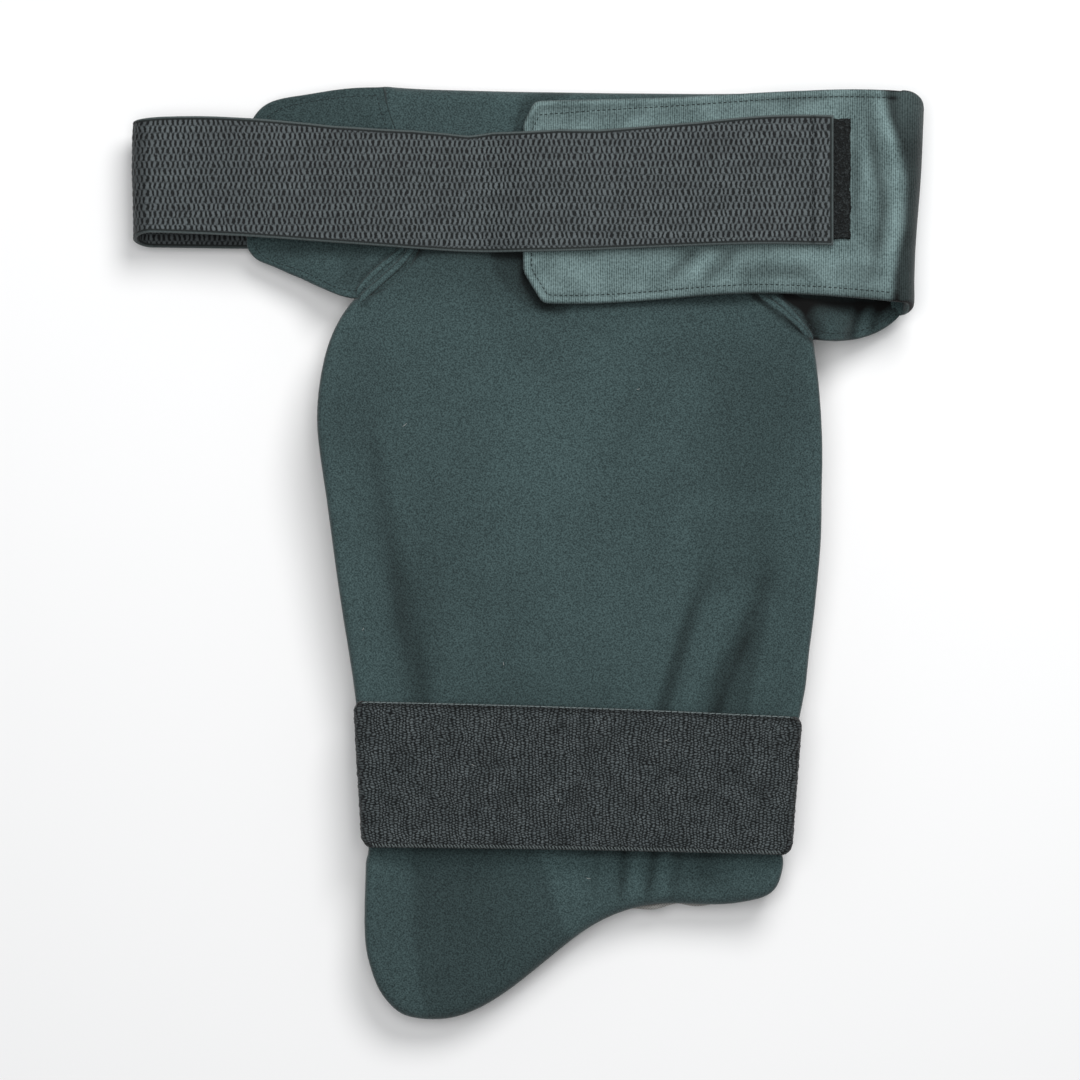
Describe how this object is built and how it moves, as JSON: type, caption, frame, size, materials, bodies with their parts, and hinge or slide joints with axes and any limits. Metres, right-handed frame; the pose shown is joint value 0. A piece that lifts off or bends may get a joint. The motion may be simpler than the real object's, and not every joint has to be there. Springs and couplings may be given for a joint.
{
  "type": "cricket thigh pad",
  "caption": "Curved layered-foam thigh pad, ribbed outside, with a wide stretch thigh strap and a fold-over waist flap closed by an elastic belt.",
  "frame": {"origin": "centre of the overall box, at the ground the outer ribs lie on", "axes": "+Y along the leg towards the waist, +X across the thigh towards the folded flap, +Z from the outer face to the leg face"},
  "size_m": [0.3171, 0.3737, 0.0382],
  "materials": {
    "leg_fabric": "matte",
    "outer_fabric": "matte",
    "soft_foam": "matte",
    "firm_foam": "matte",
    "wing_fabric": "matte",
    "loop_fabric": "matte",
    "woven_elastic": "matte",
    "towelling_elastic": "matte",
    "hook_tape": "matte"
  },
  "bodies": {
    "pad": {"leg_lining": "leg_fabric", "edge_gusset": "leg_fabric", "cushion_foam": "soft_foam", "impact_foam": "firm_foam", "outer_cover": "outer_fabric", "rib_left_side": "firm_foam", "rib_centre_left": "firm_foam", "rib_centre": "firm_foam", "rib_centre_right": "firm_foam", "rib_right_side": "firm_foam", "left_wing_backing": "outer_fabric", "left_wing_foam": "soft_foam", "left_wing_lining": "wing_fabric", "right_wing_backing": "loop_fabric", "right_wing_foam": "soft_foam", "right_wing_lining": "wing_fabric", "waist_elastic_rear_run": "woven_elastic", "thigh_strap_left_end": "towelling_elastic", "thigh_strap_right_end": "towelling_elastic"},
    "waist_flap": {"flap_fold": "loop_fabric", "flap_lining": "wing_fabric", "flap_foam": "soft_foam", "flap_loop_face": "loop_fabric"},
    "waist_strap": {"waist_elastic_fold": "woven_elastic", "waist_elastic_front_run": "woven_elastic", "hook_patch": "hook_tape"},
    "thigh_strap": {"thigh_strap_left_part": "towelling_elastic", "thigh_strap_middle": "towelling_elastic", "thigh_strap_right_part": "towelling_elastic"}
  },
  "joints": [
    {"name": "waist_strap_peel", "type": "hinge", "parent": "pad", "child": "waist_strap", "pos_m": [-0.151, 0.149, 0.01735], "axis": [0, -1, 0], "range_deg": [0, 165], "deforming": ["waist_elastic_fold"]},
    {"name": "waist_flap_unfold", "type": "hinge", "parent": "pad", "child": "waist_flap", "pos_m": [0.149, 0.142, 0.02155], "axis": [0, 1, 0], "range_deg": [0, 150], "deforming": ["flap_fold"]},
    {"name": "thigh_strap_stretch", "type": "slide", "parent": "pad", "child": "thigh_strap", "axis": [0, 0, 1], "range_m": [0, 0.06], "stiffness_N_per_m": 250, "deforming": ["thigh_strap_left_part", "thigh_strap_right_part"]}
  ],
  "couplings": [
    {"joint": "waist_flap_unfold", "follows": "waist_strap_peel", "ratio": 0.9}
  ]
}
